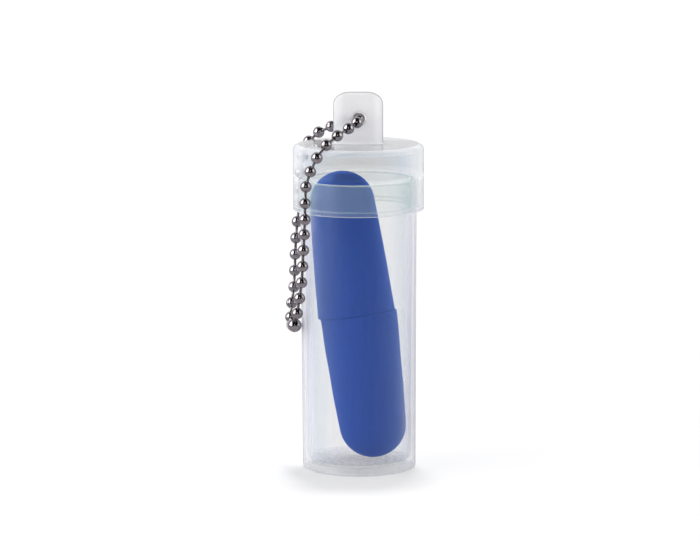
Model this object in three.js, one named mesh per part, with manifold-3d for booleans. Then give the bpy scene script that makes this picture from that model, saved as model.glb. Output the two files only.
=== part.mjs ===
// A pair of tapered foam ear plugs in a frosted plastic carrying case with a slip-on cap and a ball chain.
// Millimetres, +Z up. The origin is the centre of the case's flat bottom, and -Y is the front.
// The plugs stand base to base and lean in the case. The chain is a closed loop: it passes through the
// hole in the cap's tab, drapes over the cap's edge and hangs beside the case, closed by a small clasp.

import * as THREE from "three";
import { mergeVertices } from "three/addons/utils/BufferGeometryUtils.js";
import Module from "manifold-3d";

// Case tube: an open cup with a slight draft
const TUBE_HEIGHT = 56.0;
const TUBE_RIM_R = 11.15;
const TUBE_BASE_R = 10.85;
const TUBE_WALL = 0.95;
const TUBE_FLOOR = 1.75;
const TUBE_FOOT_ROUND = 0.7;
const TUBE_FLOOR_ROUND = 1.0;
const TUBE_RIM_BEVEL = 0.3;

// Cap: slips over the tube and stops on its rim with a small inner step
const CAP_BOTTOM_Z = 50.1;
const CAP_TOP_Z = 62.7;
const CAP_R = 12.5;
const CAP_INNER_R = 11.45;
const CAP_ROOF = 1.25;
const CAP_EDGE_ROUND = 1.15;
const CAP_LEAD_IN = 0.35;
const CAP_STEP_Z = 56.3;
const CAP_STEP_HEIGHT = 0.6;
const CAP_STEP_R = 10.85;

// Tab on the cap, with the chain's hole
const TAB_WIDTH = 9.5;
const TAB_THICKNESS = 3.0;
const TAB_TOP_Z = 72.6;
const TAB_CORNER_W = 3.0;
const TAB_CORNER_H = 2.4;
const TAB_EDGE_BEVEL = 0.35;
const HOLE_X = 0.2;
const HOLE_Z = 67.5;
const HOLE_R = 1.3;

// Ear plugs: flat wide base, slight taper, domed tip. Both lie on one leaning line
const PLUG_LENGTH = 27.75;
const PLUG_BASE_R = 7.35;
const PLUG_WAIST_R = 6.9;
const PLUG_TIP_R = 6.25;
const PLUG_DOME_HEIGHT = 6.25;
const PLUG_BASE_ROUND = 0.5;
const PLUG_GAP = 0.3;
const LOWER_TIP_CENTRE = new THREE.Vector3(2.53, -2.1, 8.3);
const UPPER_TIP_CENTRE = new THREE.Vector3(-2.93, 1.9, 51.2);

// Ball chain
const BEAD_R = 1.05;
const END_BEAD_R = 0.8;
const BEAD_PITCH = 3.17;
const PIN_R = 0.28;
const PIN_END_GAP = 0.3;
const FRONT_BEADS = 16;
const REAR_BEADS = 17;

// Clasp: a rounded sleeve, open along its top, that holds the chain's two end beads
const CLASP_R = 1.35;
const CLASP_INNER_R = 1.08;
const CLASP_SLOT = 1.1;
const CLASP_END_WALL = 0.25;

// The chain's two routes from the tab's hole to the clasp, chosen by hand
const HOLE_BEAD = [HOLE_X, -0.3, HOLE_Z];
const FRONT_ROUTE = [
  HOLE_BEAD,
  [-0.2, -3.35, 67.15],
  [-1.75, -5.9, 66.35],
  [-3.75, -7.95, 65.3],
  [-5.85, -9.75, 63.85],
  [-7.7, -11.25, 61.6],
  [-9.05, -10.25, 58.75],
  [-9.95, -9.5, 55.6],
  [-10.1, -9.35, 52.5],
  [-10.15, -9.05, 49.4],
  [-10.35, -7.75, 45.6],
  [-10.6, -7.1, 41.0],
  [-10.9, -6.6, 36.7],
  [-11.35, -6.0, 33.4],
  [-11.8, -5.2, 30.5],
  [-12.35, -3.4, 27.95],
];
const REAR_ROUTE = [
  HOLE_BEAD,
  [-0.45, 2.75, 67.25],
  [-2.65, 4.95, 66.4],
  [-5.15, 6.5, 65.25],
  [-7.6, 8.1, 63.95],
  [-9.6, 9.7, 61.9],
  [-10.75, 8.7, 59.1],
  [-11.2, 7.95, 56.0],
  [-11.35, 7.7, 50.8],
  [-12.0, 7.1, 44.8],
  [-12.25, 7.0, 39.9],
  [-12.5, 6.8, 34.2],
  [-12.95, 5.6, 30.9],
  [-13.1, 3.4, 28.4],
  [-12.6, 0.6, 27.6],
];

// Facets around each round shape
const ROUND_SIDES = 48;
const PLUG_SIDES = 28;
const HOLE_SIDES = 16;
const BEAD_SIDES = 8;
const BEAD_RINGS = 6;
const PIN_SIDES = 6;
const CLASP_SIDES = 12;

// Steps along each curve of an outline, and along a whole chain route
const TUBE_CURVE_STEPS = 3;
const CAP_CURVE_STEPS = 4;
const TAB_CORNER_STEPS = 6;
const TAB_BEVEL_STEPS = 2;
const PLUG_CURVE_STEPS = 5;
const CLASP_CURVE_STEPS = 4;
const ROUTE_STEPS = 4000;

// Vertices closer than this are one vertex
const MERGE_DISTANCE = 1e-4;

const wasm = await Module();
wasm.setup();

const frosted = { color: 0xe4e8ec, roughness: 0.45, metalness: 0 };
const foam = { color: 0x2f4fa0, roughness: 0.95, metalness: 0 };
const nickel = { color: 0x6d686c, roughness: 0.25, metalness: 1 };

function toSolid(geometry) {
  const bare = geometry.clone();
  bare.deleteAttribute("normal");
  bare.deleteAttribute("uv");
  const merged = mergeVertices(bare, MERGE_DISTANCE);
  return new wasm.Manifold(
    new wasm.Mesh({
      numProp: 3,
      vertProperties: new Float32Array(merged.attributes.position.array),
      triVerts: new Uint32Array(merged.index.array),
    }),
  );
}

function toGeometry(solid) {
  const mesh = solid.getMesh();
  const geometry = new THREE.BufferGeometry();
  geometry.setAttribute("position", new THREE.BufferAttribute(mesh.vertProperties, 3));
  geometry.setIndex(new THREE.BufferAttribute(mesh.triVerts, 1));
  geometry.computeVertexNormals();
  return geometry;
}

function namedMesh(name, geometry, look) {
  const mesh = new THREE.Mesh(geometry, new THREE.MeshStandardMaterial(look));
  mesh.name = name;
  return mesh;
}

// A lathe about Z of a path drawn in the X (radius), Y (height) plane
function turned(path, divisions, sides) {
  const points = path.getPoints(divisions);
  const geometry = new THREE.LatheGeometry(points, sides);
  geometry.rotateX(Math.PI / 2);
  return geometry;
}

// A cylinder standing along a given direction, between two points
function rodBetween(from, to, radius, sides) {
  const length = from.distanceTo(to);
  const rod = new THREE.CylinderGeometry(radius, radius, length, sides);
  const turn = new THREE.Quaternion().setFromUnitVectors(
    new THREE.Vector3(0, 1, 0),
    to.clone().sub(from).normalize(),
  );
  rod.applyQuaternion(turn);
  const middle = from.clone().add(to).multiplyScalar(0.5);
  rod.translate(middle.x, middle.y, middle.z);
  return rod;
}

function buildTube() {
  const innerRim = TUBE_RIM_R - TUBE_WALL;
  const innerBase = TUBE_BASE_R - TUBE_WALL;
  const path = new THREE.Path();
  path.moveTo(0, 0);
  path.lineTo(TUBE_BASE_R - TUBE_FOOT_ROUND, 0);
  path.quadraticCurveTo(TUBE_BASE_R, 0, TUBE_BASE_R, TUBE_FOOT_ROUND);
  path.lineTo(TUBE_RIM_R, TUBE_HEIGHT - TUBE_RIM_BEVEL);
  path.lineTo(TUBE_RIM_R - TUBE_RIM_BEVEL, TUBE_HEIGHT);
  path.lineTo(innerRim + TUBE_RIM_BEVEL, TUBE_HEIGHT);
  path.lineTo(innerRim, TUBE_HEIGHT - TUBE_RIM_BEVEL);
  path.lineTo(innerBase, TUBE_FLOOR + TUBE_FLOOR_ROUND);
  path.quadraticCurveTo(innerBase, TUBE_FLOOR, innerBase - TUBE_FLOOR_ROUND, TUBE_FLOOR);
  path.lineTo(0, TUBE_FLOOR);
  return namedMesh("tube", turned(path, TUBE_CURVE_STEPS, ROUND_SIDES), frosted);
}

function capShell() {
  const roofUnder = CAP_TOP_Z - CAP_ROOF;
  const stepTop = CAP_STEP_Z + CAP_STEP_HEIGHT;
  const path = new THREE.Path();
  path.moveTo(0, roofUnder);
  path.lineTo(CAP_INNER_R, roofUnder);
  path.lineTo(CAP_INNER_R, stepTop);
  path.lineTo(CAP_STEP_R, stepTop);
  path.lineTo(CAP_STEP_R, CAP_STEP_Z);
  path.lineTo(CAP_INNER_R, CAP_STEP_Z);
  path.lineTo(CAP_INNER_R, CAP_BOTTOM_Z + CAP_LEAD_IN);
  path.lineTo(CAP_INNER_R + CAP_LEAD_IN, CAP_BOTTOM_Z);
  path.lineTo(CAP_R, CAP_BOTTOM_Z);
  path.lineTo(CAP_R, CAP_TOP_Z - CAP_EDGE_ROUND);
  path.absarc(CAP_R - CAP_EDGE_ROUND, CAP_TOP_Z - CAP_EDGE_ROUND, CAP_EDGE_ROUND, 0, Math.PI / 2);
  path.lineTo(0, CAP_TOP_Z);
  return turned(path, CAP_CURVE_STEPS, ROUND_SIDES);
}

function tabPlate() {
  const half = TAB_WIDTH / 2 - TAB_EDGE_BEVEL;
  const top = TAB_TOP_Z - TAB_EDGE_BEVEL;
  const sunkFoot = CAP_TOP_Z - CAP_ROOF / 2;
  const shape = new THREE.Shape();
  shape.moveTo(-half, sunkFoot);
  shape.lineTo(half, sunkFoot);
  shape.lineTo(half, top - TAB_CORNER_H);
  shape.absellipse(half - TAB_CORNER_W, top - TAB_CORNER_H, TAB_CORNER_W, TAB_CORNER_H, 0, Math.PI / 2);
  shape.lineTo(-half + TAB_CORNER_W, top);
  shape.absellipse(
    -half + TAB_CORNER_W, top - TAB_CORNER_H, TAB_CORNER_W, TAB_CORNER_H, Math.PI / 2, Math.PI,
  );
  const plate = new THREE.ExtrudeGeometry(shape, {
    depth: TAB_THICKNESS - 2 * TAB_EDGE_BEVEL,
    bevelEnabled: true,
    bevelSize: TAB_EDGE_BEVEL,
    bevelThickness: TAB_EDGE_BEVEL,
    bevelSegments: TAB_BEVEL_STEPS,
    curveSegments: TAB_CORNER_STEPS,
  });
  plate.translate(0, 0, TAB_EDGE_BEVEL - TAB_THICKNESS / 2);
  plate.rotateX(Math.PI / 2);
  return plate;
}

function buildCap() {
  const drill = new THREE.CylinderGeometry(HOLE_R, HOLE_R, 2 * TAB_THICKNESS, HOLE_SIDES);
  drill.translate(HOLE_X, 0, HOLE_Z);
  const plate = toSolid(tabPlate()).subtract(toSolid(drill));
  return namedMesh("cap", toGeometry(toSolid(capShell()).add(plate)), frosted);
}

// The plug stands on its base at the height 0, with its dome at the top
function plugGeometry() {
  const shoulder = PLUG_LENGTH - PLUG_DOME_HEIGHT;
  const path = new THREE.Path();
  path.moveTo(0, 0);
  path.lineTo(PLUG_BASE_R - PLUG_BASE_ROUND, 0);
  path.lineTo(PLUG_BASE_R, PLUG_BASE_ROUND);
  path.quadraticCurveTo(PLUG_WAIST_R, shoulder / 2, PLUG_TIP_R, shoulder);
  path.absellipse(0, shoulder, PLUG_TIP_R, PLUG_DOME_HEIGHT, 0, Math.PI / 2);
  return turned(path, PLUG_CURVE_STEPS, PLUG_SIDES);
}

function buildPlugs() {
  const lean = UPPER_TIP_CENTRE.clone().sub(LOWER_TIP_CENTRE).normalize();
  const up = new THREE.Vector3(0, 0, 1);
  const middle = LOWER_TIP_CENTRE.clone().add(UPPER_TIP_CENTRE).multiplyScalar(0.5);
  const upper = namedMesh("plug_upper", plugGeometry(), foam);
  upper.position.copy(middle).addScaledVector(lean, PLUG_GAP / 2);
  upper.quaternion.setFromUnitVectors(up, lean);
  const lower = namedMesh("plug_lower", plugGeometry(), foam);
  lower.position.copy(middle).addScaledVector(lean, -PLUG_GAP / 2);
  lower.quaternion.setFromUnitVectors(up, lean.clone().negate());
  return [upper, lower];
}

// Bead centres along a route, one pitch apart in a straight line, after the bead in the hole
function beadCentres(route, count) {
  const curve = new THREE.CatmullRomCurve3(route.map((p) => new THREE.Vector3(...p)), false, "centripetal");
  const fine = curve.getPoints(ROUTE_STEPS);
  const centres = [fine[0]];
  for (const point of fine) {
    if (centres.length <= count && point.distanceTo(centres.at(-1)) >= BEAD_PITCH) {
      centres.push(point);
    }
  }
  return centres;
}

// A bead with its own link pin, whose end stays just short of the next bead up the chain
function linkGeometry(centre, next, radius, nextRadius) {
  const ball = new THREE.SphereGeometry(radius, BEAD_SIDES, BEAD_RINGS);
  const towards = next.clone().sub(centre).normalize();
  ball.applyQuaternion(new THREE.Quaternion().setFromUnitVectors(new THREE.Vector3(0, 1, 0), towards));
  ball.translate(centre.x, centre.y, centre.z);
  const pinEnd = next.clone().addScaledVector(towards, -(nextRadius + PIN_END_GAP));
  const pin = rodBetween(centre, pinEnd, PIN_R, PIN_SIDES);
  return toGeometry(toSolid(ball).add(toSolid(pin)));
}

function buildStrand(label, centres) {
  const beads = [];
  for (let i = 1; i < centres.length; i += 1) {
    const last = i === centres.length - 1;
    const radius = last ? END_BEAD_R : BEAD_R;
    const name = last ? `bead_${label}_end` : `bead_${label}_${String(i).padStart(2, "0")}`;
    beads.push(namedMesh(name, linkGeometry(centres[i], centres[i - 1], radius, BEAD_R), nickel));
  }
  return beads;
}

// A capsule lying along Y, from the middle of the clasp
function capsule(radius, halfLength) {
  const path = new THREE.Path();
  path.moveTo(0, -halfLength);
  path.absarc(0, radius - halfLength, radius, -Math.PI / 2, 0);
  path.lineTo(radius, halfLength - radius);
  path.absarc(0, halfLength - radius, radius, 0, Math.PI / 2);
  return new THREE.LatheGeometry(path.getPoints(CLASP_CURVE_STEPS), CLASP_SIDES);
}

function buildClasp(frontEnd, rearEnd) {
  const halfLength = frontEnd.distanceTo(rearEnd) / 2 + CLASP_INNER_R + CLASP_END_WALL;
  const cavity = capsule(CLASP_INNER_R, halfLength - CLASP_END_WALL);
  const slot = new THREE.BoxGeometry(CLASP_SLOT, 3 * halfLength, 2 * CLASP_R);
  slot.translate(0, 0, CLASP_R);
  const sleeve = toSolid(capsule(CLASP_R, halfLength)).subtract(toSolid(cavity)).subtract(toSolid(slot));
  const mesh = namedMesh("clasp", toGeometry(sleeve), nickel);
  mesh.position.copy(frontEnd).add(rearEnd).multiplyScalar(0.5);
  mesh.quaternion.setFromUnitVectors(
    new THREE.Vector3(0, 1, 0),
    rearEnd.clone().sub(frontEnd).normalize(),
  );
  return mesh;
}

const earPlugCase = new THREE.Group();
earPlugCase.add(buildTube(), buildCap(), ...buildPlugs());

const frontCentres = beadCentres(FRONT_ROUTE, FRONT_BEADS);
const rearCentres = beadCentres(REAR_ROUTE, REAR_BEADS);
const chain = new THREE.Group();
const holeBead = namedMesh("bead_hole", new THREE.SphereGeometry(BEAD_R, BEAD_SIDES, BEAD_RINGS), nickel);
holeBead.position.set(...HOLE_BEAD);
chain.add(holeBead, ...buildStrand("front", frontCentres), ...buildStrand("rear", rearCentres));
chain.add(buildClasp(frontCentres.at(-1), rearCentres.at(-1)));
earPlugCase.add(chain);

export default earPlugCase;
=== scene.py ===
import math
import random

import bpy
import bmesh
from mathutils import Matrix, Vector, noise


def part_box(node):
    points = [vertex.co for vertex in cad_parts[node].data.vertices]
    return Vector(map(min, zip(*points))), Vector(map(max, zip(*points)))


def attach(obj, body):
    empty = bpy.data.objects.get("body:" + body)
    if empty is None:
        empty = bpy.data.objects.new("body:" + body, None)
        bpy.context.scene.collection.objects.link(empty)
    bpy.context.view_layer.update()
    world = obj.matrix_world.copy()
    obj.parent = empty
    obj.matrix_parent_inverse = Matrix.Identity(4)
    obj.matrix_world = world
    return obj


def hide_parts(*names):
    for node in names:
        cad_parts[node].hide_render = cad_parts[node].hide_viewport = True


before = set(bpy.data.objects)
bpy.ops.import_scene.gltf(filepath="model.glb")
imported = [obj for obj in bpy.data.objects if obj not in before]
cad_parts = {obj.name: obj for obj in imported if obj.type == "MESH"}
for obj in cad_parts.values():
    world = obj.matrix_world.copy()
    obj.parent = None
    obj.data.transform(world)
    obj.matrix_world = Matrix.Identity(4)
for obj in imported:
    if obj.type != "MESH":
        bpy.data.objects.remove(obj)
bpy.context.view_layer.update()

# Two foam ear plugs in a frosted case with a slip-on cap and a ball chain. Lengths are in metres, +Z is up
# and -Y is the front. The case's bottom is at the origin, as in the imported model.

random.seed(7)
MM = 0.001

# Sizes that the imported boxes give
tube_low, tube_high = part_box("tube")
cap_low, cap_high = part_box("cap")
RIM_R = tube_high.x
RIM_Z = tube_high.z
CAP_R = cap_high.x
CAP_BOTTOM_Z = cap_low.z
TAB_TOP_Z = cap_high.z

# Sizes inside those boxes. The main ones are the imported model's, and the roundings and gaps are finer
BASE_R = 10.85 * MM
WALL = 0.95 * MM
FLOOR_Z = 1.75 * MM
FOOT_ROUND = 0.7 * MM
FLOOR_ROUND = 1.0 * MM
RIM_ROUND = 0.35 * MM
CAP_TOP_Z = 62.7 * MM
CAP_INNER_R = 11.45 * MM
CAP_ROOF = 1.25 * MM
CAP_EDGE_ROUND = 1.15 * MM
CAP_LEAD_IN = 0.35 * MM
LEAD_TOP_Z = CAP_BOTTOM_Z + 0.75 * MM
STEP_Z = 56.3 * MM
STEP_HEIGHT = 0.6 * MM
STEP_R = 10.85 * MM
STEP_ROUND = 0.15 * MM
ROOF_ROUND = 0.5 * MM
SKIRT_ROUND = 0.2 * MM
TAB_WIDTH = 9.5 * MM
TAB_THICKNESS = 3.0 * MM
TAB_CORNER = (3.0 * MM, 2.4 * MM)
TAB_EDGE_ROUND = 1.0 * MM
TAB_FOOT_ROUND = 0.5 * MM
HOLE_R = 1.3 * MM
HOLE_CHAMFER = 0.18 * MM

# The turned pieces' sides, and the longest step along their profiles
CASE_SIDES = 160
PROFILE_STEP = 4 * MM
PLUG_SIDES = 120
PLUG_STEP = 0.7 * MM

PLUG_LENGTH = 27.75 * MM
PLUG_BASE_ROUND = 0.05 * MM
PLUG_GAP = 0.004 * MM
LOWER_TIP_CENTRE = Vector((2.53, -2.1, 8.3)) * MM
UPPER_TIP_CENTRE = Vector((-2.93, 1.9, 51.2)) * MM

# Base, waist and tip radius of each plug, how far it has slipped sideways, and how the side waves and the
# skin is grained. Soft foam is never equal
UPPER_PLUG_RADII = (7.45 * MM, 6.95 * MM, 6.25 * MM)
LOWER_PLUG_RADII = (7.38 * MM, 7.1 * MM, 6.42 * MM)
UPPER_PLUG_SLIP = Vector((-0.22, 0, 0)) * MM
LOWER_PLUG_SLIP = Vector((0.12, 0, 0)) * MM
WAVE_SCALE = 160
WAVE_DEPTH = 0.10 * MM
SKIN_SCALE = 1500
SKIN_DEPTH = 0.02 * MM

# The ball chain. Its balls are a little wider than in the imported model
BEAD_R = 1.12 * MM
END_BEAD_R = 0.8 * MM
BEAD_PITCH = 3.17 * MM
BEAD_WALL = 0.16 * MM
BEAD_MOUTH_R = 0.44 * MM
BEAD_INNER_MOUTH_R = 0.41 * MM
BEAD_LIP_ROLL = 0.05 * MM
BEAD_LIP_DEPTH = 0.06 * MM
BEAD_SEAM_DEPTH = 0.05 * MM
PIN_R = 0.28 * MM
PIN_HEAD_R = 0.42 * MM
PIN_HEAD_INSET = 0.45 * MM
CLASP_R = 1.35 * MM
CLASP_INNER_R = 1.08 * MM
CLASP_SLOT = 1.1 * MM
CLASP_END_WALL = 0.25 * MM
CLASP_TIP_R = 0.12 * MM
CLASP_WIDEST_ANGLE = math.radians(78)
CHAIN_SMOOTH_ANGLE = 50.0
CLASP_SMOOTH_ANGLE = 40.0

# The chain's two routes from the tab's hole to the clasp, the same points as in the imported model
HOLE_BEAD = (0.2, -0.3, 67.5)
FRONT_ROUTE = [
    HOLE_BEAD,
    (-0.2, -3.35, 67.15),
    (-1.75, -5.9, 66.35),
    (-3.75, -7.95, 65.3),
    (-5.85, -9.75, 63.85),
    (-7.7, -11.25, 61.6),
    (-9.05, -10.25, 58.75),
    (-9.95, -9.5, 55.6),
    (-10.1, -9.35, 52.5),
    (-10.15, -9.05, 49.4),
    (-10.35, -7.75, 45.6),
    (-10.6, -7.1, 41.0),
    (-10.9, -6.6, 36.7),
    (-11.35, -6.0, 33.4),
    (-11.8, -5.2, 30.5),
    (-12.35, -3.4, 27.95),
]
REAR_ROUTE = [
    HOLE_BEAD,
    (-0.45, 2.75, 67.25),
    (-2.65, 4.95, 66.4),
    (-5.15, 6.5, 65.25),
    (-7.6, 8.1, 63.95),
    (-9.6, 9.7, 61.9),
    (-10.75, 8.7, 59.1),
    (-11.2, 7.95, 56.0),
    (-11.35, 7.7, 50.8),
    (-12.0, 7.1, 44.8),
    (-12.25, 7.0, 39.9),
    (-12.5, 6.8, 34.2),
    (-12.95, 5.6, 30.9),
    (-13.1, 3.4, 28.4),
    (-12.6, 0.6, 27.6),
]
FRONT_BEADS = 16
REAR_BEADS = 17

# The chain's moving bodies: the beads on the yoke after the hole's own, then the beads of a rung
YOKE_BEADS = 4
BEADS_A_RUNG = 2
RUNGS = 6

# Camera and studio
CAMERA_PLACE = Vector((-1.67, -777.2, 158.1)) * MM
CAMERA_TILT = math.radians(8.903)
CAMERA_ROLL = math.radians(-0.2)
CAMERA_LENS = 210.9
PAPER_HALF = 6.0
WHITE = (1.0, 1.0, 1.0, 1.0)
PAPER_COLOUR = (0.31, 0.31, 0.314, 1.0)
PAPER_GLOW = 0.50
PAPER_MIRRORED_FRONT = (0.04, 0.04, 0.04)
PAPER_MIRRORED_BACK = (0.62, 0.60, 0.61)
CARD_SLANT = 0.25
LEFT_CARD_LIGHT = 5.0
RIGHT_CARD_LIGHT = 2.2
HORIZON_LIGHT = 0.8
WINDOW_TOWARD = Vector((0.0, -0.94, 0.34)).normalized()
WINDOW_EDGE = (math.cos(math.radians(6)), math.cos(math.radians(4)))
WINDOW_LIGHT = 5.0
DARK_ROOM_LIGHT = 0.02
SHADE_LIGHT = 0.22
SUN_ENERGY = 2.6
SUN_ANGLE = math.radians(9)
SUN_TILT = math.radians(-12)

# Frosted plastic. A noise scale is in waves to a metre, and a bump is a strength and a depth
GRAIN_SCALE = 7000.0
STREAK_SCALE = 900.0
STREAK_STRETCH = (1.0, 1.0, 0.06)
CLOUD_SCALE = 120.0
GRAIN_BUMP = (0.03, 0.02 * MM)
STREAK_BUMP = (0.02, 0.03 * MM)
CLOUD_BUMP = (0.2, 0.06 * MM)
EDGE_OPACITY = 0.85
CLOUD_OPACITY = 0.03
STREAK_OPACITY = 0.012
REAR_OPACITY_SHARE = 0.5
INNER_WALL_EDGE_SHARE = 0.65
INNER_WALL_GLOSS_SHARE = 0.3
EDGE_WHITENESS = 1.75
MILK_TONES = ((0.0, (0.02, 0.035, 0.03)), (0.5, (0.28, 0.38, 0.48)), (1.0, (0.85, 0.855, 0.87)))
# Painted shade: where the plastic is seen nearly edge-on, grey is painted into the milk, a painted dark edge
# along each outline
PAINTED_EDGE_SHADE_TURN = (0.78, 0.98)
PAINTED_EDGE_SHADE_SHARE = 0.8
PAINTED_EDGE_SHADE_COLOUR = (0.40, 0.40, 0.41)
GLOW_SHARE = 0.55
GLOSS_SPREAD = (0.8, 1.3)
MATT_FACTOR = 3.0
GLOSS_FACE_ON = 0.02
GLOSS_EDGE_ON = 0.9

# Foam and metal
FOAM_DARK = (0.024, 0.070, 0.345)
FOAM_LIGHT = (0.037, 0.098, 0.430)
# Share of the foam's colour that is painted shade in the pores; the rest is random patches
PORE_SHADE_SHARE = 0.55
PORE_SCALE = 3200.0
PATCH_SCALE = 260.0
FINE_SCALE = 5200.0
SMEAR_SCALE = 900.0
SCRATCH_SCALE = 9000.0
SCRATCH_STRETCH = (1.0, 0.12, 1.0)


# ---------------------------------------------------------------- camera, floor and light


def make_camera():
    camera = bpy.data.objects.new("camera", bpy.data.cameras.new("camera"))
    bpy.context.scene.collection.objects.link(camera)
    camera.data.lens = CAMERA_LENS
    camera.data.sensor_width = 36.0
    camera.data.clip_start = 0.01
    camera.data.clip_end = 50.0
    look = Matrix.Rotation(math.pi / 2 - CAMERA_TILT, 4, "X") @ Matrix.Rotation(CAMERA_ROLL, 4, "Z")
    camera.matrix_world = Matrix.Translation(CAMERA_PLACE) @ look
    bpy.context.scene.camera = camera


def add_node(tree, kind, **settings):
    made = tree.nodes.new(kind)
    for key, value in settings.items():
        setattr(made, key, value)
    return made


def plug_in(tree, socket, value):
    """Sets a socket, or links to it when the value is another node's output."""
    if isinstance(value, bpy.types.NodeSocket):
        tree.links.new(value, socket)
    else:
        socket.default_value = value


def math_node(tree, operation, *values, clamp=False):
    made = add_node(tree, "ShaderNodeMath", operation=operation, use_clamp=clamp)
    for socket, value in zip(made.inputs, values):
        plug_in(tree, socket, value)
    return made.outputs[0]


def split_axes(tree, vector):
    made = add_node(tree, "ShaderNodeSeparateXYZ")
    tree.links.new(vector, made.inputs[0])
    return made.outputs


def smooth_range(tree, value, low, high, to_low=0.0, to_high=1.0):
    """Eases from one value to another while the input goes from low to high, which may lie below low."""
    made = add_node(tree, "ShaderNodeMapRange", interpolation_type="SMOOTHSTEP")
    plug_in(tree, made.inputs["Value"], value)
    made.inputs["From Min"].default_value = low
    made.inputs["From Max"].default_value = high
    made.inputs["To Min"].default_value = to_low
    made.inputs["To Max"].default_value = to_high
    return made.outputs["Result"]


def mirrored_light(tree, direction):
    """What all but diffuse rays see: a card on each side, a small window in front, a pale horizon behind."""
    x, y, z = split_axes(tree, direction)
    beside = smooth_range(tree, y, low=0.25, high=-0.05)
    left_place = math_node(tree, "MULTIPLY_ADD", z, -CARD_SLANT, x)
    right_place = math_node(tree, "MULTIPLY_ADD", z, CARD_SLANT, x)
    left = smooth_range(tree, left_place, low=-0.66, high=-0.80, to_high=LEFT_CARD_LIGHT)
    right = smooth_range(tree, right_place, low=0.74, high=0.90, to_high=RIGHT_CARD_LIGHT)
    horizon = smooth_range(tree, y, low=0.1, high=0.5, to_high=HORIZON_LIGHT)
    toward = add_node(tree, "ShaderNodeVectorMath", operation="DOT_PRODUCT")
    tree.links.new(direction, toward.inputs[0])
    toward.inputs[1].default_value = WINDOW_TOWARD
    window = smooth_range(tree, toward.outputs["Value"], *WINDOW_EDGE, to_high=WINDOW_LIGHT)
    cards = math_node(tree, "MULTIPLY", math_node(tree, "MAXIMUM", left, right), beside)
    brightest = math_node(tree, "MAXIMUM", window, DARK_ROOM_LIGHT)
    for light in (cards, horizon):
        brightest = math_node(tree, "MAXIMUM", brightest, light)
    return brightest


def soft_light(tree, direction):
    """What lights the matt surfaces: a broad glow from the left, the right and behind."""
    x, y, _ = split_axes(tree, direction)
    left = smooth_range(tree, x, low=0.0, high=-0.9, to_low=SHADE_LIGHT, to_high=1.35)
    right = smooth_range(tree, x, low=0.1, high=0.8, to_low=SHADE_LIGHT, to_high=1.15)
    behind = smooth_range(tree, y, low=0.2, high=0.8, to_low=SHADE_LIGHT, to_high=1.0)
    return math_node(tree, "MAXIMUM", math_node(tree, "MAXIMUM", left, right), behind)


def make_studio():
    """A world whose gloss reflections and soft light differ, as with lamps behind large diffusers."""
    world = bpy.data.worlds.new("studio")
    bpy.context.scene.world = world
    world.use_nodes = True
    tree = world.node_tree
    tree.nodes.clear()
    out = add_node(tree, "ShaderNodeOutputWorld")
    background = add_node(tree, "ShaderNodeBackground")
    tree.links.new(background.outputs[0], out.inputs["Surface"])
    direction = add_node(tree, "ShaderNodeTexCoord").outputs["Generated"]
    light = add_node(tree, "ShaderNodeMix")
    tree.links.new(add_node(tree, "ShaderNodeLightPath").outputs["Is Diffuse Ray"], light.inputs["Factor"])
    tree.links.new(mirrored_light(tree, direction), light.inputs["A"])
    tree.links.new(soft_light(tree, direction), light.inputs["B"])
    tree.links.new(light.outputs["Result"], background.inputs["Strength"])
    background.inputs["Color"].default_value = WHITE
    bpy.context.scene.view_settings.view_transform = "Standard"


def make_sun():
    """A soft overhead lamp, a little behind the case, that never shows in the gloss."""
    sun = bpy.data.objects.new("overhead", bpy.data.lights.new("overhead", "SUN"))
    bpy.context.scene.collection.objects.link(sun)
    sun.data.energy = SUN_ENERGY
    sun.data.angle = SUN_ANGLE
    sun.matrix_world = Matrix.Rotation(SUN_TILT, 4, "X")
    sun.visible_glossy = False


def make_floor():
    """Pale paper that glows a little, so that it stays white. The gloss shows it darker, most in front."""
    mesh = bpy.data.meshes.new("floor")
    h = PAPER_HALF
    mesh.from_pydata([(-h, -h, 0), (h, -h, 0), (h, h, 0), (-h, h, 0)], [], [(0, 1, 2, 3)])
    floor = bpy.data.objects.new("floor", mesh)
    bpy.context.scene.collection.objects.link(floor)
    material, tree, out = new_material("floor_paper")
    paper = add_node(tree, "ShaderNodeBsdfPrincipled")
    paper.inputs["Base Color"].default_value = PAPER_COLOUR
    paper.inputs["Roughness"].default_value = 0.9
    paper.inputs["Specular IOR Level"].default_value = 0.1
    paper.inputs["Emission Color"].default_value = WHITE
    paper.inputs["Emission Strength"].default_value = PAPER_GLOW
    mirrored = add_node(tree, "ShaderNodeEmission")
    _, y, _ = split_axes(tree, object_place(tree))
    behind = smooth_range(tree, y, low=-0.32, high=-0.10)
    mirrored_colour = colour_between(tree, behind, PAPER_MIRRORED_FRONT, PAPER_MIRRORED_BACK)
    tree.links.new(mirrored_colour, mirrored.inputs["Color"])
    in_gloss = add_node(tree, "ShaderNodeLightPath").outputs["Is Glossy Ray"]
    surface = mix_shaders(tree, in_gloss, paper.outputs[0], mirrored.outputs[0])
    tree.links.new(surface, out.inputs["Surface"])
    mesh.materials.append(material)


# ---------------------------------------------------------------- materials


def mix_shaders(tree, share, first, second):
    """The first shader where the share is 0 and the second where it is 1."""
    made = add_node(tree, "ShaderNodeMixShader")
    plug_in(tree, made.inputs["Fac"], share)
    tree.links.new(first, made.inputs[1])
    tree.links.new(second, made.inputs[2])
    return made.outputs[0]


def new_material(name):
    material = bpy.data.materials.new(name)
    material.use_nodes = True
    tree = material.node_tree
    tree.nodes.clear()
    out = add_node(tree, "ShaderNodeOutputMaterial")
    return material, tree, out


def object_place(tree, stretch=(1.0, 1.0, 1.0)):
    """The point on the piece in its own metres, stretched along an axis for streaks."""
    place = add_node(tree, "ShaderNodeTexCoord").outputs["Object"]
    mapping = add_node(tree, "ShaderNodeMapping")
    mapping.inputs["Scale"].default_value = stretch
    tree.links.new(place, mapping.inputs["Vector"])
    return mapping.outputs["Vector"]


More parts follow.
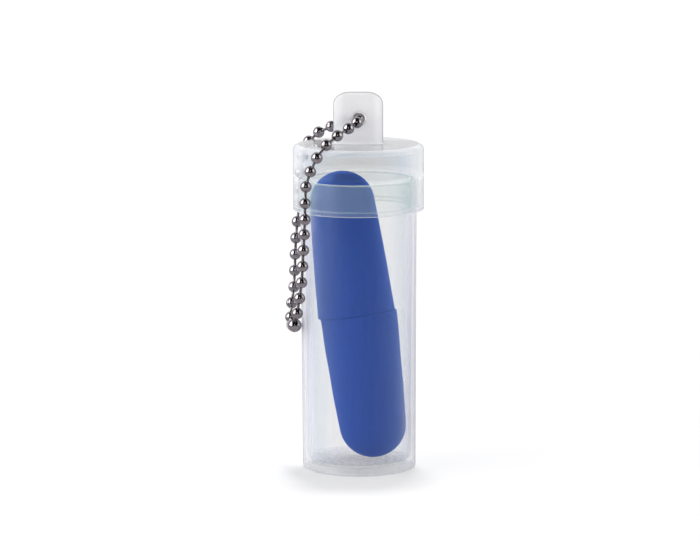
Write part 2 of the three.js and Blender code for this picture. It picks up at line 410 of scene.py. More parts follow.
def noise_value(tree, place, scale, detail=2.0, roughness=0.5):
    made = add_node(tree, "ShaderNodeTexNoise")
    tree.links.new(place, made.inputs["Vector"])
    made.inputs["Scale"].default_value = scale
    made.inputs["Detail"].default_value = detail
    made.inputs["Roughness"].default_value = roughness
    return made.outputs["Fac"]


def bump_node(tree, height, strength, distance, below=None):
    made = add_node(tree, "ShaderNodeBump")
    plug_in(tree, made.inputs["Strength"], strength)
    made.inputs["Distance"].default_value = distance
    tree.links.new(height, made.inputs["Height"])
    if below is not None:
        tree.links.new(below, made.inputs["Normal"])
    return made.outputs["Normal"]


def colour_between(tree, factor, first, second):
    made = add_node(tree, "ShaderNodeMix", data_type="RGBA")
    plug_in(tree, made.inputs["Factor"], factor)
    for socket, colour in ((made.inputs["A"], first), (made.inputs["B"], second)):
        plug_in(tree, socket, (*colour, 1.0) if isinstance(colour, tuple) else colour)
    return made.outputs["Result"]


def colour_ramp(tree, factor, stops):
    made = add_node(tree, "ShaderNodeValToRGB")
    tree.links.new(factor, made.inputs["Fac"])
    stop_list = made.color_ramp.elements
    while len(stop_list) < len(stops):
        stop_list.new(0.5)
    for stop, (place, colour) in zip(stop_list, stops):
        stop.position = place
        stop.color = (*colour, 1.0)
    return made.outputs["Color"]


def plastic_normal(tree, place, streaks, cloud, amount):
    """Fine grain, drawn streaks and slow ripples on the surface, all by the same amount."""
    grain = noise_value(tree, place, GRAIN_SCALE)
    normal = None
    for height, (strength, distance) in ((grain, GRAIN_BUMP), (streaks, STREAK_BUMP), (cloud, CLOUD_BUMP)):
        normal = bump_node(tree, height, math_node(tree, "MULTIPLY", amount, strength), distance, normal)
    return normal


def inside_radius(tree, x, y, wall_middle_r):
    """1 on a wall's inner face and 0 on its outer one, told apart by the radius between them."""
    flat = add_node(tree, "ShaderNodeCombineXYZ")
    tree.links.new(x, flat.inputs["X"])
    tree.links.new(y, flat.inputs["Y"])
    radius = add_node(tree, "ShaderNodeVectorMath", operation="LENGTH")
    tree.links.new(flat.outputs[0], radius.inputs[0])
    fade = 0.1 * MM
    return smooth_range(tree, radius.outputs["Value"], wall_middle_r + fade, wall_middle_r - fade)


def scaled_inside(tree, mask, share):
    """A factor that is 1 outside a mask and a share inside it."""
    return math_node(tree, "MULTIPLY_ADD", mask, share - 1, 1.0)


def zone(low, high, fade, more_dim=0.0, more_white=0.0, gloss_share=1.0, tint=None):
    """A band of heights with its own added opacity and whiteness, its share of the gloss and its tint. A
    tint is the milk's colour at the middle, its colour at the tab's sides (a painted highlight on the tab),
    and how much earlier the painted grey edge shade starts."""
    return low, high, fade, more_dim, more_white, gloss_share, tint


def frosted_plastic(name, dim, veil, gloss_roughness, matt_below, wall_middle_r, zones):
    """Thin milky polypropylene. It dims what is behind it by a share, scatters some light of its own, more
    where it is seen edge-on, and has a soft gloss that is more matt below a height. The veil is the
    whiteness where it is seen face on. Zones change all this over bands of heights."""
    material, tree, out = new_material(name)
    place = object_place(tree)
    x, y, z = split_axes(tree, place)
    streaks = noise_value(tree, object_place(tree, STREAK_STRETCH), STREAK_SCALE, detail=3.0)
    cloud = noise_value(tree, place, CLOUD_SCALE, detail=3.0)

    above_floor = smooth_range(tree, z, FLOOR_Z + 0.2 * MM, FLOOR_Z + 1 * MM)
    under_roof = smooth_range(tree, z, CAP_TOP_Z - 0.9 * MM, CAP_TOP_Z - 1.2 * MM)
    inner_wall = math_node(tree, "MULTIPLY", inside_radius(tree, x, y, wall_middle_r),
                           math_node(tree, "MULTIPLY", above_floor, under_roof))
    normal = plastic_normal(tree, place, streaks, cloud, above_floor)
    smooth, rough = (gloss_roughness * share for share in GLOSS_SPREAD)
    roughness = smooth_range(tree, streaks, low=0.3, high=0.7, to_low=smooth, to_high=rough)
    matt = smooth_range(tree, z, matt_below - 1 * MM, matt_below, to_low=MATT_FACTOR, to_high=1.0)
    roughness = math_node(tree, "MULTIPLY", roughness, matt)

    facing = add_node(tree, "ShaderNodeLayerWeight")
    facing.inputs["Blend"].default_value = 0.5
    turned_away = facing.outputs["Facing"]
    edge = math_node(tree, "POWER", turned_away, 2.0)
    edge = math_node(tree, "MULTIPLY", edge, scaled_inside(tree, inner_wall, INNER_WALL_EDGE_SHARE))
    opacity = math_node(tree, "MULTIPLY_ADD", edge, EDGE_OPACITY, dim)
    opacity = math_node(tree, "MULTIPLY_ADD", cloud, CLOUD_OPACITY, opacity)
    opacity = math_node(tree, "MULTIPLY_ADD", streaks, STREAK_OPACITY, opacity)
    rear_fade = smooth_range(tree, y, 3 * MM, 8 * MM, to_low=1.0, to_high=REAR_OPACITY_SHARE)
    opacity = math_node(tree, "MULTIPLY", opacity, rear_fade)
    whiteness = math_node(tree, "MULTIPLY_ADD", turned_away, EDGE_WHITENESS, veil, clamp=True)
    shine = scaled_inside(tree, inner_wall, INNER_WALL_GLOSS_SHARE)
    edge_shade_turn = turned_away
    tinted = []
    for low, high, fade, more_dim, more_white, gloss_share, tint in zones:
        above = smooth_range(tree, z, low - fade / 2, low + fade / 2)
        below = smooth_range(tree, z, high + fade / 2, high - fade / 2)
        inside = math_node(tree, "MULTIPLY", above, below)
        opacity = math_node(tree, "MULTIPLY_ADD", inside, more_dim, opacity, clamp=True)
        whiteness = math_node(tree, "MULTIPLY_ADD", inside, more_white, whiteness, clamp=True)
        shine = math_node(tree, "MULTIPLY", shine, scaled_inside(tree, inside, gloss_share))
        if tint:
            tinted.append((tint, inside))

    milk_colour = colour_ramp(tree, whiteness, MILK_TONES)
    width = math_node(tree, "ABSOLUTE", x)
    # Painted highlight: towards the tab's sides a zone's milk takes its side colour, which on the tab is a
    # whiter painted highlight
    tab_side_highlight_mask = smooth_range(tree, width, TAB_WIDTH * 0.25, TAB_WIDTH * 0.44)
    for (middle, side, early), inside in tinted:
        edge_shade_turn = math_node(tree, "MULTIPLY_ADD", inside, early, edge_shade_turn)
        zone_colour = colour_between(tree, tab_side_highlight_mask, middle, side)
        milk_colour = colour_between(tree, inside, milk_colour, zone_colour)
    # Painted shade: grey painted into the milk where the surface is turned far away, earlier on the tab and
    # later on the top face
    outline = smooth_range(tree, edge_shade_turn, *PAINTED_EDGE_SHADE_TURN, to_high=PAINTED_EDGE_SHADE_SHARE)
    milk_colour = colour_between(tree, outline, milk_colour, PAINTED_EDGE_SHADE_COLOUR)

    milk = add_node(tree, "ShaderNodeBsdfDiffuse")
    tree.links.new(milk_colour, milk.inputs["Color"])
    tree.links.new(normal, milk.inputs["Normal"])
    glow = add_node(tree, "ShaderNodeBsdfTranslucent")
    tree.links.new(milk_colour, glow.inputs["Color"])
    clear = add_node(tree, "ShaderNodeBsdfTransparent")
    scatter = mix_shaders(tree, GLOW_SHARE, milk.outputs[0], glow.outputs[0])
    body = mix_shaders(tree, opacity, clear.outputs[0], scatter)

    gloss = add_node(tree, "ShaderNodeBsdfAnisotropic")
    gloss.inputs["Color"].default_value = WHITE
    tree.links.new(roughness, gloss.inputs["Roughness"])
    tree.links.new(normal, gloss.inputs["Normal"])
    mirror = math_node(tree, "POWER", turned_away, 5.0)
    mirror = math_node(tree, "MULTIPLY_ADD", mirror, GLOSS_EDGE_ON, GLOSS_FACE_ON)
    mirror = math_node(tree, "MULTIPLY", mirror, shine)
    tree.links.new(mix_shaders(tree, mirror, body, gloss.outputs[0]), out.inputs["Surface"])
    return material


def tube_plastic():
    """A painted highlight line at the rim, a greener band where the cap covers the tube, and a floor slab
    that is milkier for its thickness and painted whiter as painted light against the shadow above it.
    """
    # Painted highlight: a thin band of whiter, denser milk at the rim's top
    rim_painted_highlight = zone(RIM_Z - 0.25 * MM, RIM_Z, 0.1 * MM, more_dim=0.25, more_white=0.5)
    seat_tint = ((0.60, 0.76, 0.66), (0.62, 0.75, 0.70), 0.0)
    seat = zone(CAP_BOTTOM_Z, RIM_Z, 0.4 * MM, more_dim=0.038, more_white=0.5, tint=seat_tint)
    # The slab is denser for its thickness; its extra whiteness is painted light that lifts it out of the
    # shadow of the plugs and case above it
    slab = zone(0, FLOOR_Z, 0.3 * MM, more_dim=0.28, more_white=0.7, gloss_share=0.15)
    return frosted_plastic(
        "tube_plastic", dim=0.055, veil=0.0, gloss_roughness=0.26, matt_below=0.0,
        wall_middle_r=BASE_R - WALL / 2, zones=(rim_painted_highlight, seat, slab),
    )


def cap_plastic():
    """Two lines at the skirt's foot that are painted highlights, a clear inner step, a milkier crown and
    edge, a top face painted greyer as painted shade, and a nearly opaque tab with painted highlights at its
    sides."""
    # Painted highlights: the two lines at the skirt's foot are thin bands of whiter, denser milk
    line = {"fade": 0.1 * MM, "more_dim": 0.18, "more_white": 0.6, "gloss_share": 0.3}
    skirt_painted_highlight = zone(CAP_BOTTOM_Z, CAP_BOTTOM_Z + 0.2 * MM, **line)
    lead_painted_highlight = zone(LEAD_TOP_Z, LEAD_TOP_Z + 0.25 * MM, **line)
    step_top = STEP_Z + STEP_HEIGHT
    step = zone(STEP_Z - 0.1 * MM, step_top + 0.1 * MM, 0.2 * MM, more_dim=-0.6, gloss_share=0.05)
    crown = zone(STEP_Z, CAP_TOP_Z - 0.3 * MM, 0.6 * MM, more_dim=0.11, gloss_share=0.3)
    edge_foot = CAP_TOP_Z - CAP_EDGE_ROUND
    corner = zone(edge_foot, CAP_TOP_Z - 0.1 * MM, 0.3 * MM, more_dim=0.15, more_white=0.35)
    # Painted shade: the top face's milk is painted a flat grey, darker than the rest of the cap, and its
    # painted grey edge starts later
    roof_painted_shade = ((0.42, 0.41, 0.42), (0.42, 0.41, 0.42), -0.4)
    roof = zone(CAP_TOP_Z - 0.02 * MM, CAP_TOP_Z + 0.1 * MM, 0.04 * MM, tint=roof_painted_shade)
    # Painted highlights: the tab's milk is painted whiter towards both sides, and its painted grey edge
    # starts earlier
    tab_tint_and_painted_highlights = ((0.80, 0.79, 0.80), (0.95, 0.95, 0.96), 0.36)
    tab = zone(
        CAP_TOP_Z + 0.2 * MM, TAB_TOP_Z + 1 * MM, 0.4 * MM,
        more_dim=0.62, more_white=0.9, gloss_share=0.35, tint=tab_tint_and_painted_highlights,
    )
    return frosted_plastic(
        "cap_plastic", dim=0.025, veil=0.02, gloss_roughness=0.07, matt_below=edge_foot,
        wall_middle_r=(CAP_R + CAP_INNER_R) / 2,
        zones=(skirt_painted_highlight, lead_painted_highlight, step, crown, corner, roof, tab),
    )


def blue_foam():
    """Slow-recovery foam: fine open pores under a thin skin, matt, with a faint fuzz at the edges."""
    material, tree, out = new_material("blue_foam")
    place = object_place(tree)
    pores = add_node(tree, "ShaderNodeTexVoronoi", feature="F1")
    tree.links.new(place, pores.inputs["Vector"])
    pores.inputs["Scale"].default_value = PORE_SCALE
    pore_depth = smooth_range(tree, pores.outputs["Distance"], low=0.10, high=0.45)
    patches = noise_value(tree, place, PATCH_SCALE, detail=4.0, roughness=0.6)
    fine = noise_value(tree, place, FINE_SCALE, detail=3.0, roughness=0.6)

    # Painted shade in the pores: the pore centres, which the bump sinks, are painted darker; the rest of the
    # colour is random patches
    patch_part = math_node(tree, "MULTIPLY", patches, 1 - PORE_SHADE_SHARE)
    patches_and_pore_shade = math_node(tree, "MULTIPLY_ADD", pore_depth, PORE_SHADE_SHARE, patch_part)
    colour = colour_between(tree, patches_and_pore_shade, FOAM_DARK, FOAM_LIGHT)

    normal = bump_node(tree, fine, strength=0.12, distance=0.02 * MM)
    normal = bump_node(tree, pore_depth, strength=0.15, distance=0.04 * MM, below=normal)
    normal = bump_node(tree, patches, strength=0.2, distance=0.1 * MM, below=normal)

    shader = add_node(tree, "ShaderNodeBsdfPrincipled")
    tree.links.new(colour, shader.inputs["Base Color"])
    shader.inputs["Roughness"].default_value = 0.88
    shader.inputs["Specular IOR Level"].default_value = 0.03
    shader.inputs["Sheen Weight"].default_value = 0.28
    shader.inputs["Sheen Roughness"].default_value = 0.45
    shader.inputs["Sheen Tint"].default_value = (0.30, 0.45, 1.0, 1.0)
    tree.links.new(normal, shader.inputs["Normal"])
    tree.links.new(shader.outputs[0], out.inputs["Surface"])
    return material


def chain_metal(name, base, dull, roughness):
    """Dark nickel plate: smooth, with fine handling scratches and dull spots."""
    material, tree, out = new_material(name)
    smear = noise_value(tree, object_place(tree), SMEAR_SCALE, detail=3.0, roughness=0.6)
    scratch = noise_value(tree, object_place(tree, SCRATCH_STRETCH), SCRATCH_SCALE)
    dulled = smooth_range(tree, smear, low=0.35, high=0.7)
    spread = (roughness * 0.75, roughness * 1.5)
    rough = smooth_range(tree, smear, 0.3, 0.75, *spread)
    shader = add_node(tree, "ShaderNodeBsdfPrincipled")
    tree.links.new(colour_between(tree, dulled, base, dull), shader.inputs["Base Color"])
    shader.inputs["Metallic"].default_value = 1.0
    tree.links.new(rough, shader.inputs["Roughness"])
    scratched = bump_node(tree, scratch, strength=0.08, distance=0.01 * MM)
    tree.links.new(scratched, shader.inputs["Normal"])
    tree.links.new(shader.outputs[0], out.inputs["Surface"])
    return material


# ---------------------------------------------------------------- mesh helpers


def link_piece(name, mesh, material, body, smooth_angle=35.0):
    mesh.materials.clear()
    mesh.materials.append(material)
    mesh.shade_smooth()
    mesh.set_sharp_from_angle(angle=math.radians(smooth_angle))
    piece = bpy.data.objects.new(name, mesh)
    bpy.context.scene.collection.objects.link(piece)
    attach(piece, body)
    return piece


def rounded_profile(corners, steps=6):
    """Turns (radius, height, rounding) corners into a profile with an arc at each rounded corner."""
    points = []
    for i, (r, z, size) in enumerate(corners):
        here = Vector((r, z))
        if size == 0 or i in (0, len(corners) - 1):
            points.append(here)
            continue
        before = Vector(corners[i - 1][:2])
        after = Vector(corners[i + 1][:2])
        to_before = (before - here).normalized()
        to_after = (after - here).normalized()
        half = to_before.angle(to_after) / 2
        reach = size / math.tan(half)
        centre = here + (to_before + to_after).normalized() * (size / math.sin(half))
        start = here + to_before * reach - centre
        end = here + to_after * reach - centre
        turn = start.angle_signed(end)
        for k in range(steps + 1):
            a = -turn * k / steps
            points.append(centre + Vector((
                start.x * math.cos(a) - start.y * math.sin(a),
                start.x * math.sin(a) + start.y * math.cos(a),
            )))
    return points


def divided(points, longest):
    """Adds points so that no step of the profile is longer than a length."""
    result = [points[0]]
    for a, b in zip(points, points[1:]):
        count = max(1, math.ceil((b - a).length / longest))
        result += [a.lerp(b, (k + 1) / count) for k in range(count)]
    return result


def lathe(name, points, sides=0, closed=False, angles=None):
    """Turns a profile about Z, in equal sides or at given angles. An open profile starts and ends on the
    axis; a closed one makes a ring."""
    turned = bmesh.new()
    angles = angles or [2 * math.pi * k / sides for k in range(sides)]
    rows = []
    for p in points:
        if p[0] < 1e-9:
            rows.append([turned.verts.new((0, 0, p[1]))])
        else:
            rows.append([turned.verts.new((p[0] * math.cos(a), p[0] * math.sin(a), p[1])) for a in angles])
    pairs = list(zip(rows, rows[1:]))
    if closed:
        pairs.append((rows[-1], rows[0]))
    count = len(angles)
    for low, high in pairs:
        for k in range(count):
            n = (k + 1) % count
            if len(low) == 1 and len(high) == 1:
                continue
            if len(low) == 1:
                turned.faces.new((low[0], high[n], high[k]))
            elif len(high) == 1:
                turned.faces.new((low[k], low[n], high[0]))
            else:
                turned.faces.new((low[k], low[n], high[n], high[k]))
    bmesh.ops.recalc_face_normals(turned, faces=turned.faces)
    mesh = bpy.data.meshes.new(name)
    turned.to_mesh(mesh)
    turned.free()
    return mesh


def frame_along(direction, spin=0.0):
    """A rotation that carries +Z to a direction, after a spin about +Z."""
    turn = Vector((0, 0, 1)).rotation_difference(direction)
    return turn.to_matrix().to_4x4() @ Matrix.Rotation(spin, 4, "Z")


def boolean_mesh(name, first, second, operation):
    """The join or cut of two meshes, as a new mesh."""
    a = bpy.data.objects.new("first", first)
    b = bpy.data.objects.new("second", second)
    for o in (a, b):
        bpy.context.scene.collection.objects.link(o)
    cut = a.modifiers.new("cut", "BOOLEAN")
    cut.object = b
    cut.operation = operation
    cut.solver = "EXACT"
    evaluated = a.evaluated_get(bpy.context.evaluated_depsgraph_get())
    mesh = bpy.data.meshes.new_from_object(evaluated)
    mesh.name = name
    for o in (a, b):
        bpy.data.objects.remove(o)
    return mesh


# ---------------------------------------------------------------- case, cap and plugs


def make_tube(material):
    corners = [
        (0, 0, 0),
        (BASE_R, 0, FOOT_ROUND),
        (RIM_R, RIM_Z, RIM_ROUND),
        (RIM_R - WALL, RIM_Z, RIM_ROUND),
        (BASE_R - WALL, FLOOR_Z, FLOOR_ROUND),
        (0, FLOOR_Z, 0),
    ]
    mesh = lathe("case_tube", divided(rounded_profile(corners), PROFILE_STEP), CASE_SIDES)
    tube = link_piece("case_tube", mesh, material, "case")
    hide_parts("tube")


def cap_shell():
    roof_under = CAP_TOP_Z - CAP_ROOF
    step_top = STEP_Z + STEP_HEIGHT
    corners = [
        (0, roof_under, 0),
        (CAP_INNER_R, roof_under, ROOF_ROUND),
        (CAP_INNER_R, step_top, 0),
        (STEP_R, step_top, STEP_ROUND),
        (STEP_R, STEP_Z, STEP_ROUND),
        (CAP_INNER_R, STEP_Z, 0),
        (CAP_INNER_R, LEAD_TOP_Z, STEP_ROUND),
        (CAP_INNER_R + CAP_LEAD_IN, CAP_BOTTOM_Z, 0),
        (CAP_R, CAP_BOTTOM_Z, SKIRT_ROUND),
        (CAP_R, CAP_TOP_Z, CAP_EDGE_ROUND),
        (0, CAP_TOP_Z, 0),
    ]
    return lathe("cap_shell", divided(rounded_profile(corners, 8), PROFILE_STEP), CASE_SIDES)


def rounded_outline(width, top, bottom, corner, inset, steps=14):
    """The tab's outline in X and Z: square at the foot, elliptical corners at the top."""
    half = width / 2 - inset
    cx, cz = corner[0] - inset, corner[1] - inset
    top = top - inset
    right = [(half - cx + cx * math.cos(a), top - cz + cz * math.sin(a))
             for a in (math.pi / 2 * k / steps for k in range(steps + 1))]
    left = [(-x, z) for x, z in reversed(right)]
    return [(half, bottom)] + right + left + [(-half, bottom)]


def tab_plate():
    """An upright plate with a rounded edge all round, as a stack of outlines from front to back."""
    foot = CAP_TOP_Z - CAP_ROOF / 2
    steps = 6
    layers = []
    for k in range(steps + 1):
        a = math.pi / 2 * k / steps
        inset = TAB_EDGE_ROUND * (1 - math.sin(a))
        depth = TAB_THICKNESS / 2 - TAB_EDGE_ROUND * (1 - math.cos(a))
        layers.append((depth, inset))
    layers = layers + [(-depth, inset) for depth, inset in reversed(layers)]
    plate = bmesh.new()
    rows = []
    for depth, inset in layers:
        outline = rounded_outline(TAB_WIDTH, TAB_TOP_Z, foot, TAB_CORNER, inset)
        rows.append([plate.verts.new((x, -depth, z)) for x, z in outline])
    for low, high in zip(rows, rows[1:]):
        for k in range(len(low)):
            n = (k + 1) % len(low)
            plate.faces.new((low[k], low[n], high[n], high[k]))
    plate.faces.new(rows[0])
    plate.faces.new(list(reversed(rows[-1])))
    bmesh.ops.recalc_face_normals(plate, faces=plate.faces)
    flare_foot(plate)
    mesh = bpy.data.meshes.new("tab_plate")
    plate.to_mesh(mesh)
    plate.free()
    return mesh


def flare_foot(plate):
    """Spreads the plate's last half millimetre above the cap into a small fillet."""
    cuts = 6
    for k in range(cuts + 1):
        z = CAP_TOP_Z + TAB_FOOT_ROUND * k / cuts
        everything = plate.verts[:] + plate.edges[:] + plate.faces[:]
        bmesh.ops.bisect_plane(plate, geom=everything, plane_co=(0, 0, z), plane_no=(0, 0, 1))
    for v in plate.verts:
        up = min(max(v.co.z - CAP_TOP_Z, 0.0), TAB_FOOT_ROUND)
        spread = TAB_FOOT_ROUND - math.sqrt(max(TAB_FOOT_ROUND ** 2 - (TAB_FOOT_ROUND - up) ** 2, 0.0))
        v.co.x *= 1 + spread / (TAB_WIDTH / 2)
        v.co.y *= 1 + spread / (TAB_THICKNESS / 2)


def hole_drill():
    """A cutter whose waist is the hole and whose ends flare into small chamfers."""
    half = TAB_THICKNESS / 2
    end = half + 1 * MM
    wide = HOLE_R + HOLE_CHAMFER
    points = [
        Vector((0, -end)),
        Vector((wide, -end)),
        Vector((wide, -half)),
        Vector((HOLE_R, -half + HOLE_CHAMFER)),
        Vector((HOLE_R, half - HOLE_CHAMFER)),
        Vector((wide, half)),
        Vector((wide, end)),
        Vector((0, end)),
    ]
    mesh = lathe("drill", points, 48)
    x, _, z = HOLE_BEAD
    mesh.transform(Matrix.Translation((x * MM, 0, z * MM)) @ Matrix.Rotation(math.pi / 2, 4, "X"))
    return mesh


def make_cap(material):
    plate = boolean_mesh("tab", tab_plate(), hole_drill(), "DIFFERENCE")
    mesh = boolean_mesh("case_cap", cap_shell(), plate, "UNION")
    cap = link_piece("case_cap", mesh, material, "cap")
    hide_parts("cap")


def plug_profile(base_r, waist_r, tip_r):
    """A plug from the middle of its base to its tip: flat base, rounded edge, tapered side and a dome."""
    shoulder = PLUG_LENGTH - tip_r
    flat_r = base_r - PLUG_BASE_ROUND
    points = [Vector((0, 0)), Vector((flat_r, 0))]
    edge_steps = 4
    for k in range(1, edge_steps + 1):
        a = math.pi / 2 * k / edge_steps
        points.append(Vector((flat_r + PLUG_BASE_ROUND * math.sin(a), PLUG_BASE_ROUND * (1 - math.cos(a)))))
    side_steps = 40
    for k in range(1, side_steps + 1):
        t = k / side_steps
        r = (1 - t) ** 2 * base_r + 2 * t * (1 - t) * waist_r + t ** 2 * tip_r
        points.append(Vector((r, PLUG_BASE_ROUND + t * (shoulder - PLUG_BASE_ROUND))))
    dome_steps = 20
    for k in range(1, dome_steps + 1):
        a = math.pi / 2 * k / dome_steps
        points.append(Vector((tip_r * math.cos(a), shoulder + tip_r * math.sin(a))))
    points[-1].x = 0
    return divided(points, PLUG_STEP)


def make_plug(name, node, body, radii, base, direction, seed, material):
    """Foam is never quite round: the side waves a little and has a fine skin, and the cut base is flat."""
    mesh = lathe(name, plug_profile(*radii), PLUG_SIDES)
    shift = Vector((seed * 3.1, seed * 1.7, 0))
    for v in mesh.vertices:
        wave = noise.noise(v.co * WAVE_SCALE + shift) * WAVE_DEPTH
        grain = noise.noise(v.co * SKIN_SCALE + shift) * SKIN_DEPTH
        out = Vector((v.co.x, v.co.y, max(v.co.z - PLUG_LENGTH / 2, 0))).normalized()
        v.co += out * (wave + grain) * min(v.co.z / MM, 1.0)
    mesh.transform(Matrix.Translation(base) @ frame_along(direction, seed))
    plug = link_piece(name, mesh, material, body)
    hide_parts(node)
    plug.visible_glossy = False


def make_plugs(material):
    lean = (UPPER_TIP_CENTRE - LOWER_TIP_CENTRE).normalized()
    middle = (UPPER_TIP_CENTRE + LOWER_TIP_CENTRE) / 2
    upper_base = middle + lean * PLUG_GAP / 2 + UPPER_PLUG_SLIP
    lower_base = middle - lean * PLUG_GAP / 2 + LOWER_PLUG_SLIP
    upper = (UPPER_PLUG_RADII, upper_base, lean)
    lower = (LOWER_PLUG_RADII, lower_base, -lean)
    make_plug("ear_plug_upper", "plug_upper", "upper_plug", *upper, seed=1.3, material=material)
    make_plug("ear_plug_lower", "plug_lower", "lower_plug", *lower, seed=4.1, material=material)


# ---------------------------------------------------------------- ball chain


def route_curve(route, per_span=260):
    """A centripetal Catmull-Rom curve through the route, as close points."""
    knots = [Vector(p) * MM for p in route]
    knots = [2 * knots[0] - knots[1]] + knots + [2 * knots[-1] - knots[-2]]
    fine = []
    for i in range(1, len(knots) - 2):
        p = knots[i - 1:i + 3]
        t = [0.0]
        for a, b in zip(p, p[1:]):
            t.append(t[-1] + math.sqrt((b - a).length))
        for k in range(per_span):
            s = t[1] + (t[2] - t[1]) * k / per_span
            a = [p[j].lerp(p[j + 1], (s - t[j]) / (t[j + 1] - t[j])) for j in range(3)]
            b = [a[j].lerp(a[j + 1], (s - t[j]) / (t[j + 2] - t[j])) for j in range(2)]
            fine.append(b[0].lerp(b[1], (s - t[1]) / (t[2] - t[1])))
    fine.append(knots[-2])
    return fine


def bead_centres(route, count):
    """Points one bead spacing apart along a route, from its first point on."""
    centres = [Vector(route[0]) * MM]
    for point in route_curve(route):
        if len(centres) <= count and (point - centres[-1]).length >= BEAD_PITCH:
            centres.append(point)
    return centres


def bead_mesh(name, radius):
    """A hollow ball rolled from strip: rolled-in mouths at both poles and a closed seam down one side."""
    outer_steps = 14
    mouth = math.asin(BEAD_MOUTH_R / radius)
    turn = math.pi - 2 * mouth
    outer = [math.pi - mouth - turn * k / outer_steps for k in range(outer_steps + 1)]
    points = [Vector((radius * math.sin(a), radius * math.cos(a))) for a in outer]
    lip_r = BEAD_MOUTH_R - BEAD_LIP_ROLL
    lip_height = radius * math.cos(mouth) - BEAD_LIP_DEPTH
    inner = radius - BEAD_WALL
    inner_steps = 8
    inner_mouth = math.asin(BEAD_INNER_MOUTH_R / inner)
    inner_turn = math.pi - 2 * inner_mouth
    back = [inner_mouth + inner_turn * k / inner_steps for k in range(inner_steps + 1)]
    points.append(Vector((lip_r, lip_height)))
    points += [Vector((inner * math.sin(a), inner * math.cos(a))) for a in back]
    points.append(Vector((lip_r, -lip_height)))
    seam = math.radians(3.0)
    sides = 27
    around = [seam + (2 * math.pi - 2 * seam) * k / sides for k in range(1, sides)]
    mesh = lathe(name, points, closed=True, angles=[0.0, seam] + around + [-seam])
    for v in mesh.vertices:
        at = math.atan2(v.co.y, v.co.x)
        if abs(at) < seam / 2 and v.co.length > inner + BEAD_WALL / 2:
            v.co *= 1 - BEAD_SEAM_DEPTH / radius
    return mesh


def pin_mesh(name, length):
    """A dog-bone wire link: a thin shaft with a round head at each end, inside the two beads."""
    steps = 5
    half = length / 2
    shaft_angle = math.pi - math.asin(PIN_R / PIN_HEAD_R)
    points = []
    for k in range(steps + 1):
        a = shaft_angle * k / steps
        points.append(Vector((PIN_HEAD_R * math.sin(a), -half - PIN_HEAD_R * math.cos(a))))
    points[0].x = 0
    points.append(Vector((PIN_R * 0.9, 0)))
    points += [Vector((p.x, -p.y)) for p in reversed(points[:-1])]
    return lathe(name, points, 16)


def make_strand(label, centres, bodies, metal, pin_metal):
    """A strand's balls from the tab's hole to the clasp, each with the pin to the ball before it."""
    for i in range(1, len(centres)):
        last = i == len(centres) - 1
        tag = f"{label}_end" if last else f"{label}_{i:02d}"
        radius = END_BEAD_R if last else BEAD_R
        after = centres[min(i + 1, len(centres) - 1)]
        along = (centres[i - 1] - after).normalized()
        mesh = bead_mesh(f"ball_{tag}", radius)
        mesh.transform(Matrix.Translation(centres[i]) @ frame_along(along, random.uniform(0, 2 * math.pi)))
        ball = link_piece(f"ball_{tag}", mesh, metal, bodies[i], CHAIN_SMOOTH_ANGLE)
        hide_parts(f"bead_{tag}")
        step = centres[i - 1] - centres[i]
        mesh = pin_mesh(f"pin_{tag}", step.length - 2 * PIN_HEAD_INSET)
        middle = (centres[i] + centres[i - 1]) / 2
        mesh.transform(Matrix.Translation(middle) @ frame_along(step.normalized()))
        link_piece(f"pin_{tag}", mesh, pin_metal, bodies[i], CHAIN_SMOOTH_ANGLE)


def strand_bodies(count):
    """Each bead's body: the first beads ride on the yoke, then each rung takes two, the last the rest."""
    names = []
    for i in range(count + 1):
        rung = (i - YOKE_BEADS - 1) // BEADS_A_RUNG + 1
        names.append("chain_yoke" if i <= YOKE_BEADS else f"chain_rung_{min(RUNGS, rung)}")
    return names


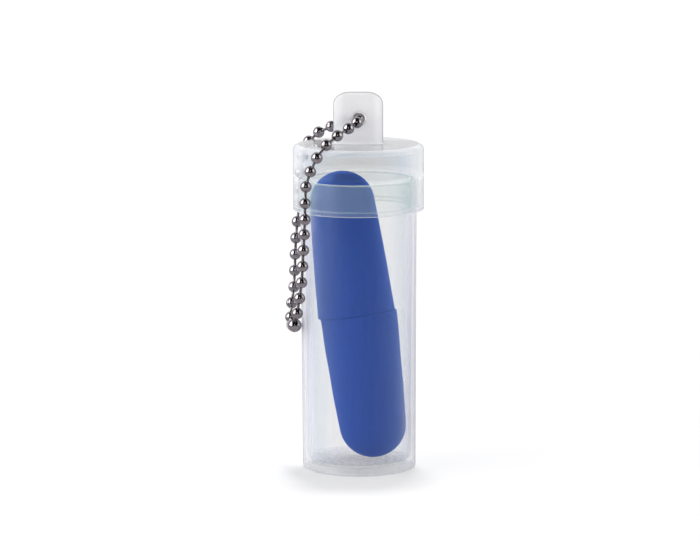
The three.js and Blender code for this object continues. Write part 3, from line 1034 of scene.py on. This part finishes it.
def clasp_mesh(front_end, rear_end):
    """A sleeve of bent sheet with round ends, open along the top so that the end beads press in."""
    half = (rear_end - front_end).length / 2 + CLASP_INNER_R + CLASP_END_WALL
    stations = 22
    around = 26
    sleeve = bmesh.new()
    layers = []
    for size, length in ((CLASP_R, half), (CLASP_INNER_R, half - CLASP_END_WALL)):
        rows = []
        for s in range(stations + 1):
            y = -math.cos(math.pi * s / stations) * length
            beyond = max(abs(y) - (length - size), 0.0)
            radius = math.sqrt(max(size ** 2 - beyond ** 2, CLASP_TIP_R ** 2))
            open_angle = min(math.asin(min(CLASP_SLOT / 2 / radius, 1.0)), CLASP_WIDEST_ANGLE)
            row = []
            for k in range(around + 1):
                a = open_angle + (2 * math.pi - 2 * open_angle) * k / around
                row.append(sleeve.verts.new((radius * math.sin(a), y, radius * math.cos(a))))
            rows.append(row)
        layers.append(rows)
    out_rows, in_rows = layers
    for s in range(stations):
        for k in range(around):
            n = k + 1
            sleeve.faces.new((out_rows[s][k], out_rows[s][n], out_rows[s + 1][n], out_rows[s + 1][k]))
            sleeve.faces.new((in_rows[s][k], in_rows[s + 1][k], in_rows[s + 1][n], in_rows[s][n]))
        for k in (0, around):
            sleeve.faces.new((out_rows[s][k], out_rows[s + 1][k], in_rows[s + 1][k], in_rows[s][k]))
    for s in (0, stations):
        for k in range(around):
            sleeve.faces.new((out_rows[s][k], out_rows[s][k + 1], in_rows[s][k + 1], in_rows[s][k]))
    bmesh.ops.recalc_face_normals(sleeve, faces=sleeve.faces)
    mesh = bpy.data.meshes.new("chain_clasp")
    sleeve.to_mesh(mesh)
    sleeve.free()
    turn = Vector((0, 1, 0)).rotation_difference((rear_end - front_end).normalized())
    mesh.transform(Matrix.Translation((front_end + rear_end) / 2) @ turn.to_matrix().to_4x4())
    return mesh


def make_chain():
    metal = chain_metal("bead_nickel", (0.36, 0.335, 0.355), (0.26, 0.24, 0.26), 0.10)
    pin_metal = chain_metal("pin_nickel", (0.22, 0.20, 0.21), (0.12, 0.11, 0.12), 0.22)
    front = bead_centres(FRONT_ROUTE, FRONT_BEADS)
    rear = bead_centres(REAR_ROUTE, REAR_BEADS)
    mesh = bead_mesh("ball_hole", BEAD_R)
    mesh.transform(Matrix.Translation(front[0]) @ frame_along((front[1] - rear[1]).normalized(), 1.0))
    ball = link_piece("ball_hole", mesh, metal, "chain_yoke", CHAIN_SMOOTH_ANGLE)
    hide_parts("bead_hole")
    make_strand("front", front, strand_bodies(FRONT_BEADS), metal, pin_metal)
    make_strand("rear", rear, strand_bodies(REAR_BEADS), metal, pin_metal)
    mesh = clasp_mesh(front[-1], rear[-1])
    clasp = link_piece("chain_clasp", mesh, metal, "chain_rung_6", CLASP_SMOOTH_ANGLE)
    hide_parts("clasp")


make_camera()
make_studio()
make_sun()
make_floor()
make_tube(tube_plastic())
make_cap(cap_plastic())
make_plugs(blue_foam())
make_chain()
